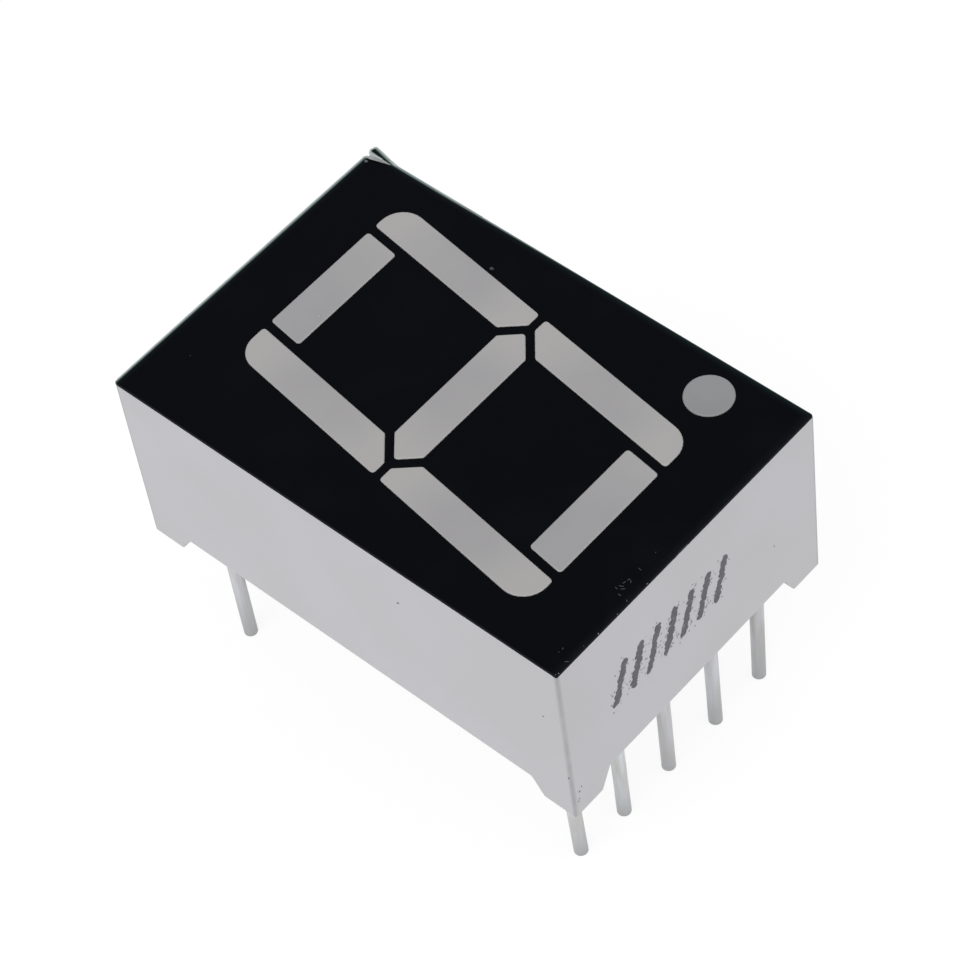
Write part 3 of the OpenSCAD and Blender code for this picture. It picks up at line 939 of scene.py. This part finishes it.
@cache
def wire_recipe() -> Recipe:
    """Sweeps a slightly uneven round wire along a curve.

    Returns:
        The tree that does it.
    """
    sides = 40
    lump_size = MM / 0.9
    made = Recipe("swept_wire", ("radius", "waviness"))
    ring = made.add("GeometryNodeCurvePrimitiveCircle", {"Resolution": sides, "Radius": made.given["radius"]})
    inputs = {"Curve": made.given["Geometry"], "Profile Curve": ring, "Fill Caps": True}
    sweep = made.add("GeometryNodeCurveToMesh", inputs)
    place = made.add("GeometryNodeInputPosition")
    inputs = {"Vector": place, "W": made.given["seed"], "Scale": 1 / lump_size, "Detail": 1.0}
    lumps = made.add("ShaderNodeTexNoise", inputs, noise_dimensions="4D")
    uneven = made.add(MATH, (lumps, 0.5), operation="SUBTRACT")
    height = made.add(MATH, (uneven, made.given["waviness"]), operation="MULTIPLY")
    inputs = {0: made.add("GeometryNodeInputNormal"), "Scale": height}
    offset = made.add("ShaderNodeVectorMath", inputs, operation="SCALE")
    made.end(made.add("GeometryNodeSetPosition", {"Geometry": sweep, "Offset": offset}))
    return made


@dataclass
class FaceFilm(Part):
    """The black film on the front, with its torn corner and the dust on it."""

    edge_rounding: float = 0.05
    bar_step: float = 0.02
    stroke_radius: float = 0.011
    stroke_taper: float = 0.6
    stroke_sink: float = 0.4
    stroke_waviness: float = 0.006
    # Scuffs: x, y, length, direction in degrees from +X, share of the full radius
    strokes = (
        (-2.75, -8.82, 0.1, -103, 1.6), (-2.6, -8.89, 0.15, -68, 1.8), (-2.44, -8.88, 0.1, -18, 1.6),
        (-2.27, -8.92, 0.09, -13, 1.0), (-2.29, -9.02, 0.1, -139, 0.8), (-2.65, -9.0, 0.14, -46, 0.7),
        (-1.76, -8.94, 0.12, -99, 0.9), (-2.88, -9.06, 0.1, -83, 0.4), (-2.92, -9.38, 0.08, -118, 0.4),
        (-5.75, -9.37, 0.12, -50, 1.0),
    )
    # A nick in the cut edge: x, z
    burr = ((-0.7, 8.0), (-0.58, 8.04), (-0.36, 8.085), (-0.16, 8.065), (0.0, 8.0))
    tear_length: float = 1.05
    strip_lift: float = 12.0
    rim_radius: float = 0.045
    rim_waviness: float = 0.02
    side_inset: float = 0.02
    # x, how far in from the top edge, share of the full radius
    top_rim = (
        (-6.2, 0.03, 0.4), (-3.5, 0.02, 0.6), (0.0, 0.01, 0.8), (3.0, 0.0, 1.0), (5.84, 0.01, 0.9),
        (5.93, 0.09, 0.8),
    )
    # y, share of the full radius
    side_rim = ((4.5, 0.4), (6.0, 0.6), (7.4, 0.8), (8.3, 0.8))
    # On the flat strip, from its root: x, y, how far it stands up, share of the full radius
    strip_rim = (
        (0.02, 0.23, 0.0, 0.7), (0.06, 0.5, 0.0, 0.7), (0.09, 0.78, 0.0, 0.8), (0.09, 0.9, 0.015, 1.0),
        (0.04, 0.94, 0.02, 0.9), (-0.1, 0.98, 0.01, 0.8), (-0.19, 0.94, 0.0, 1.0),
        (-0.22, 0.86, -0.03, 1.4), (-0.17, 0.65, 0.0, 0.45), (-0.12, 0.45, 0.0, 0.2),
    )
    # Grains on the face: x, y
    face_grains = ((-4.06, 8.24), (-0.98, -8.93), (-5.46, -8.97), (-5.63, -8.96))
    # Chips on the near edge: x, how far in from it
    edge_grains = ((-2.03, 0.0), (-3.46, 0.0), (-4.37, 0.0), (-5.0, 0.05), (-6.22, 0.02), (-6.3, 0.06))
    edge_depth: float = 0.03
    fine_size = (0.05, 0.03, 0.02)
    # Single grains: name, x, y, how far above the face, size, finish
    single_grains = (
        ("corner_chip", 5.69, 9.29, 0.0, (0.13, 0.12, 0.03), DUST_PALE),
        ("large_grain", 4.63, 2.69, 0.0, (0.15, 0.15, 0.03), DUST_GREY),
        ("white_grain", -0.3, 5.93, 0.01, (0.09, 0.09, 0.03), DUST_WHITE),
    )

    def build(self) -> None:
        """Makes the film, its dust, its scuffs and its clear rim."""
        nearly_level = 0.9

        def upper_edge(edge: bmesh.types.BMEdge) -> bool:
            """Says whether an edge borders the film's upper face."""
            return any(face.normal.z > nearly_level for face in edge.link_faces)

        piece = softened(self.nodes["face_film"], "face_film_sheet", self.edge_rounding, upper_edge)
        hand_over(piece, FILM_BLACK, "face_film")
        self.dust()
        self.scuffs()
        self.clear_rim()

    def face_level(self) -> float:
        """Returns the height of the film's upper face, which the bars stand a little out of."""
        return Box.of("segment_a").high.z - self.bar_step

    def dust(self) -> None:
        """Lays grains on the film, most of them near its lower edge."""
        low = Box.of("face_film").low.y
        face = self.face_level()
        grey = [(x, y, face) for x, y in self.face_grains]
        pale = [(x, low + inset, face - self.edge_depth) for x, inset in self.edge_grains]
        scatter_grains("face_dust", grey, self.fine_size, 3, DUST_GREY)
        scatter_grains("edge_chips", pale, self.fine_size, 3, DUST_PALE)
        for name, x, y, rise, size, finish in self.single_grains:
            scatter_grains(name, [(x, y, face + rise)], size, 1, finish)

    def scuffs(self) -> None:
        """Scratches a few short pale strokes near the lower edge, and nicks the cut edge once."""
        face = self.face_level()
        wall = Box.of("face_film").low.y
        strokes = [[(x, wall, z) for x, z in self.burr]]
        girths = [[1.0] * len(self.burr)]
        for x, y, length, turn, weight in self.strokes:
            way = math.radians(turn)
            half = 0.5 * length * Vector((math.cos(way), math.sin(way), 0))
            middle = Vector((x, y, face - self.stroke_sink * self.stroke_radius))
            strokes.append([middle - half, middle, middle + half])
            girths.append([self.stroke_taper * weight, weight, self.stroke_taper * weight])
        source = poly_curve("face_scuffs", strokes, girths)
        sizes = {"radius": self.stroke_radius, "waviness": self.stroke_waviness}
        wire_recipe().make(source, DUST_GREY, seed=4, **sizes)

    def clear_rim(self) -> None:
        """Sweeps the pale rim, which the print leaves clear, along the far edges and round the strip."""
        side, top = FILM_BLACK.far_edges
        level = self.face_level() - self.rim_radius
        along_top = [(x, top - inset, level) for x, inset, _ in self.top_rim]
        along_side = [(side - self.side_inset, y, level) for y, _ in self.side_rim]
        girths = [
            [girth for *_, girth in self.top_rim],
            [girth for *_, girth in self.side_rim + self.strip_rim],
        ]
        source = poly_curve("film_clear_rim", [along_top, along_side + self.raised_rim()], girths)
        sizes = {"radius": self.rim_radius, "waviness": self.rim_waviness}
        wire_recipe().make(source, CLEAR_RIM, seed=6, **sizes)

    def raised_rim(self) -> list[tuple[float, float, float]]:
        """Brings the strip's rim from the flat film to the strip as it stands up.

        Returns:
            The rim's points, in millimetres.
        """
        side, top = FILM_BLACK.far_edges
        root = top - self.tear_length
        base = Box.of("housing").high.z
        lift = math.radians(self.strip_lift)
        along = Vector((math.cos(lift), math.sin(lift)))
        above = Vector((-math.sin(lift), math.cos(lift)))
        points = []
        for x, y, rise, _ in self.strip_rim:
            height = self.face_level() - base - self.rim_radius + rise
            away, up = y * along + height * above
            points.append((side + x, root + away, base + up))
        return points


@dataclass
class Lamps(Part):
    """The cast bars and the point, with their chips and bond wires."""

    rim_rounding: float = 0.06
    rim_margin: float = 0.01

    def build(self) -> None:
        """Makes the bars and the point, and dresses what they hold."""
        for bar in Bar:
            name = f"segment_{bar.value}"
            box = Box.of(name)
            finish = DEEP_EPOXY if bar in (Bar.TOP, Bar.BOTTOM) else BAR_EPOXY
            self.cast(name, finish.centred(name, 0.5 * (box.low + box.high)))
        self.cast("decimal_point", POINT_EPOXY)
        for lamp in [bar.value for bar in Bar] + ["point"]:
            dress(self.nodes[f"led_chip_{lamp}"], CHIP_CRYSTAL)
            dress(self.nodes[f"bond_wire_{lamp}"], GOLD_WIRE)

    def cast(self, name: str, finish: Finish) -> None:
        """Rounds the front rim of one cast lamp.

        Args:
            name: The CAD node that holds it.
            finish: Its finish.
        """
        top = Box.of(name).high.z

        def front_rim(edge: bmesh.types.BMEdge) -> bool:
            """Says whether an edge is round the front."""
            return all(v.co.z > top - self.rim_margin for v in edge.verts)

        piece = softened(self.nodes[name], f"{name}_cast", self.rim_rounding, front_rim)
        hand_over(piece, finish, name)


@dataclass
class Board(Part):
    """The circuit board with its copper and solder, and the resin poured behind it."""

    finishes = {
        "circuit_board": LAMINATE,
        "copper_tracks": COPPER_FOIL,
        "solder_joints": SOLDER_TIN,
        "back_resin": BACK_EPOXY,
    }

    def build(self) -> None:
        """Dresses the board, its copper, its solder and the resin."""
        for name, finish in self.finishes.items():
            dress(self.nodes[name], finish)


def ahead(start: tuple[float, float], angle: float, length: float) -> tuple[float, float]:
    """Returns the point at a length from start, down a slope at so many degrees off the vertical."""
    slope = math.radians(angle)
    return start[0] + length * math.sin(slope), start[1] - length * math.cos(slope)


@dataclass(frozen=True)
class Bend:
    """How one pin has been bent, below the housing.

    Attributes:
        towards: The direction of the bend, in degrees from +X.
        kink: The angle of the first bend.
        run: The length of the slanting stretch between two bends, or 0 for a single bend.
        lean: The angle at which the pin goes on down.
    """

    towards: float
    kink: float
    run: float
    lean: float


@dataclass
class Pins(Part):
    """The pins, each swept along its own centre line."""

    row_length: int = 5
    pitch: float = 2.54
    row_place: float = 7.62
    skin: float = 0.02
    bend_start: float = 0.5
    bend_radius: float = 0.8
    bend_step: float = 3.0
    tip_radius: float = 0.21
    tip_steps: int = 6
    ring_gap: float = 0.3
    waviness: float = 0.014
    sharp_angle: float = 50.0
    bends = {
        1: Bend(22, 24, 1.0, 3),
        2: Bend(25, 24, 0.34, 0.5),
        5: Bend(186, 1.3, 0.0, 1.3),
        10: Bend(38, 24, 0.85, 0.5),
    }
    finishes = {1: TIN_BRIGHT, 2: TIN_BRIGHT, 5: TIN_DULL}

    def build(self) -> None:
        """Sweeps every pin."""
        for number in range(1, 2 * self.row_length + 1):
            node = f"pin_{number}"
            finish = self.finishes.get(number, TIN_PLAIN)
            points, girths = self.centre_line(number)
            source = poly_curve(f"{node}_wire", [points], [girths])
            sizes = {"radius": self.radius(), "waviness": self.waviness}
            piece = wire_recipe().make(source, finish, node, seed=number, **sizes)
            piece.data.shade_smooth()
            piece.data.set_sharp_from_angle(angle=math.radians(self.sharp_angle))

    def radius(self) -> float:
        """Returns a straight pin's radius, less the skin that its unevenness makes up for."""
        box = Box.of("pin_3")
        return 0.5 * (box.high.y - box.low.y) - self.skin

    def root(self, number: int) -> Vector:
        """Works out a pin's place in the grid.

        Args:
            number: The pin's number. The lower row counts to the right, and the upper row back.

        Returns:
            Its place on the seating plane, in millimetres.
        """
        middle = (self.row_length + 1) / 2
        if number <= self.row_length:
            return Vector(((number - middle) * self.pitch, -self.row_place, 0))
        return Vector(((self.row_length + middle - number) * self.pitch, self.row_place, 0))

    def centre_line(self, number: int) -> tuple[list[Vector], list[float]]:
        """Works out a pin's centre line from its board end to its tip.

        Args:
            number: The pin's number.

        Returns:
            The points in millimetres, and the share of the full radius at each.
        """
        box = Box.of(f"pin_{number}")
        bend = self.bends.get(number)
        path = [(0.0, box.high.z), (0.0, -self.bend_start)]
        angle = 0.0
        if bend:
            path += self.arc(path[-1], angle, bend.kink)
            angle = bend.kink
            if bend.run:
                path.append(ahead(path[-1], angle, bend.run))
                path += self.arc(path[-1], angle, bend.lean)
                angle = bend.lean
        left = (path[-1][1] - box.low.z) / math.cos(math.radians(angle))
        path.append(ahead(path[-1], angle, left - self.tip_radius))
        path = self.divided(path)
        girths = [1.0] * len(path)
        shoulder = path[-1]
        for i in range(1, self.tip_steps + 1):
            turn = 0.5 * math.pi * i / self.tip_steps
            path.append(ahead(shoulder, angle, self.tip_radius * math.sin(turn)))
            girths.append(1 - self.tip_radius / self.radius() * (1 - math.cos(turn)))
        way = math.radians(bend.towards if bend else 0)
        flat = Vector((math.cos(way), math.sin(way), 0))
        return [self.root(number) + x * flat + Vector((0, 0, z)) for x, z in path], girths

    def arc(self, start: tuple[float, float], first: float, last: float) -> list[tuple[float, float]]:
        """Works out a bend.

        Args:
            start: The bend's first point, sideways and up.
            first: The angle off the vertical before it, in degrees.
            last: The angle after it.

        Returns:
            The points after the first one.
        """
        steps = max(2, round(abs(last - first) / self.bend_step))
        side = 1 if last > first else -1
        points = []
        for i in range(1, steps + 1):
            a, b = math.radians(first), math.radians(first + (last - first) * i / steps)
            x = start[0] + side * self.bend_radius * (math.cos(a) - math.cos(b))
            z = start[1] - side * self.bend_radius * (math.sin(b) - math.sin(a))
            points.append((x, z))
        return points

    def divided(self, path: list[tuple[float, float]]) -> list[tuple[float, float]]:
        """Divides the long stretches of a path, so that they can be uneven.

        Args:
            path: The path's points, sideways and up.

        Returns:
            The same path with more points.
        """
        made = [path[0]]
        for start, end in zip(path, path[1:]):
            count = max(1, round(math.dist(start, end) / self.ring_gap))
            for i in range(1, count + 1):
                made.append(tuple(a + i / count * (b - a) for a, b in zip(start, end)))
        return made


# ---- the studio -----------------------------------------------------------------------------


@dataclass(frozen=True)
class Viewpoint:
    """Where the camera stands, and how it is held."""

    azimuth: float = -41.5875
    elevation: float = 52.4907
    roll: float = -9.0802
    target: tuple[float, float, float] = (0.0419, -0.2484, 3.839)
    distance: float = 118.01
    lens: float = 134.044
    sensor: float = 36.0
    near_limit: float = 1.0
    far_limit: float = 5000.0

    def build(self) -> None:
        """Makes the camera."""
        back = outward(self.azimuth, self.elevation)
        roll = math.radians(self.roll)
        level = (-back).cross(Vector((0, 0, 1))).normalized()
        above = level.cross(-back)
        right = math.cos(roll) * level + math.sin(roll) * above
        up = (-back).cross(right) * -1
        place = (Vector(self.target) + self.distance * back) * MM
        data = bpy.data.cameras.new("camera")
        data.lens = self.lens
        data.sensor_width = self.sensor
        data.clip_start = self.near_limit * MM
        data.clip_end = self.far_limit * MM
        camera = placed("camera", data)
        turned = Matrix((right, up, back)).transposed().to_4x4()
        camera.matrix_world = Matrix.Translation(place) @ turned
        bpy.context.scene.camera = camera


@dataclass(frozen=True)
class SoftLamp:
    """A distant soft lamp: where it shines from, how strongly and how widely."""

    name: str
    azimuth: float
    elevation: float
    strength: float
    spread: float

    def build(self) -> None:
        """Makes the lamp."""
        data = bpy.data.lights.new(self.name, "SUN")
        data.energy = self.strength
        data.angle = math.radians(self.spread)
        lamp = placed(self.name, data)
        lamp.rotation_mode = "QUATERNION"
        lamp.rotation_quaternion = outward(self.azimuth, self.elevation).to_track_quat("Z", "Y")


@dataclass
class Studio:
    """A white room: floor, sky and two soft lamps."""

    sky: float = 0.62
    sky_colour: str = "#fdfeff"
    floor_half: float = 600.0
    floor_white: str = "#e6e6e6"
    floor_lift: float = 0.84
    floor_share: float = 0.75
    lamps: tuple[SoftLamp, ...] = (
        SoftLamp("key", -80, 48, 0.93, 50),
        SoftLamp("fill", 20, 40, 0.46, 90),
    )

    def build(self) -> None:
        """Makes the room."""
        self.floor()
        self.world()
        for lamp in self.lamps:
            lamp.build()

    def seen(self, tree: Tree) -> Any:
        """Tells where the room is seen, directly, in a gloss or through glass.

        Args:
            tree: The tree that gets the nodes.

        Returns:
            A socket that is 1 there.
        """
        path = tree.add("ShaderNodeLightPath", out=None).outputs
        either = tree.add(MATH, (path["Is Camera Ray"], path["Is Glossy Ray"]), operation="MAXIMUM")
        return tree.add(MATH, (either, path["Is Transmission Ray"]), operation="MAXIMUM")

    def floor(self) -> None:
        """Makes a white floor under the pins' tips, which keeps a faint shadow."""
        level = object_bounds()[0].z / MM
        bm = bmesh.new()
        bmesh.ops.create_grid(bm, x_segments=1, y_segments=1, size=self.floor_half)
        bmesh.ops.translate(bm, verts=bm.verts, vec=(0, 0, level))
        floor = object_from(bm, "floor")
        paint = bpy.data.materials.new("floor_paint")
        tree = Tree(paint)
        share = tree.add(MATH, (self.seen(tree), self.floor_share), operation="MULTIPLY")
        matt = tree.add("ShaderNodeBsdfDiffuse", {"Color": self.floor_white})
        glow = tree.add("ShaderNodeEmission", {"Strength": self.floor_lift / self.floor_share})
        mixed = tree.add("ShaderNodeMixShader", {0: share, 1: matt, 2: glow})
        tree.add("ShaderNodeOutputMaterial", {"Surface": mixed}, out=None)
        floor.data.materials.append(paint)
        floor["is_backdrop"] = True

    def world(self) -> None:
        """Makes an even sky, which is white where it is seen."""
        world = bpy.data.worlds.new("room")
        tree = Tree(world)
        light = tree.add("ShaderNodeBackground", {"Color": self.sky_colour, "Strength": self.sky})
        white = tree.add("ShaderNodeBackground", {"Color": "#ffffff", "Strength": 1.0})
        mixed = tree.add("ShaderNodeMixShader", {0: self.seen(tree), 1: light, 2: white})
        tree.add("ShaderNodeOutputWorld", {"Surface": mixed}, out=None)
        bpy.context.scene.world = world


def main() -> None:
    """Loads the frame, dresses it and sets the scene."""
    logging.basicConfig(level=logging.INFO, format="%(message)s")
    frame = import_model()
    bpy.context.scene.view_settings.view_transform = "Standard"
    nodes = frame["nodes"]
    Viewpoint().build()
    for part in (Housing(nodes), FaceFilm(nodes), Lamps(nodes), Board(nodes), Pins(nodes)):
        part.build()
    Studio().build()
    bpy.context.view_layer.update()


if __name__ == "__main__":
    main()
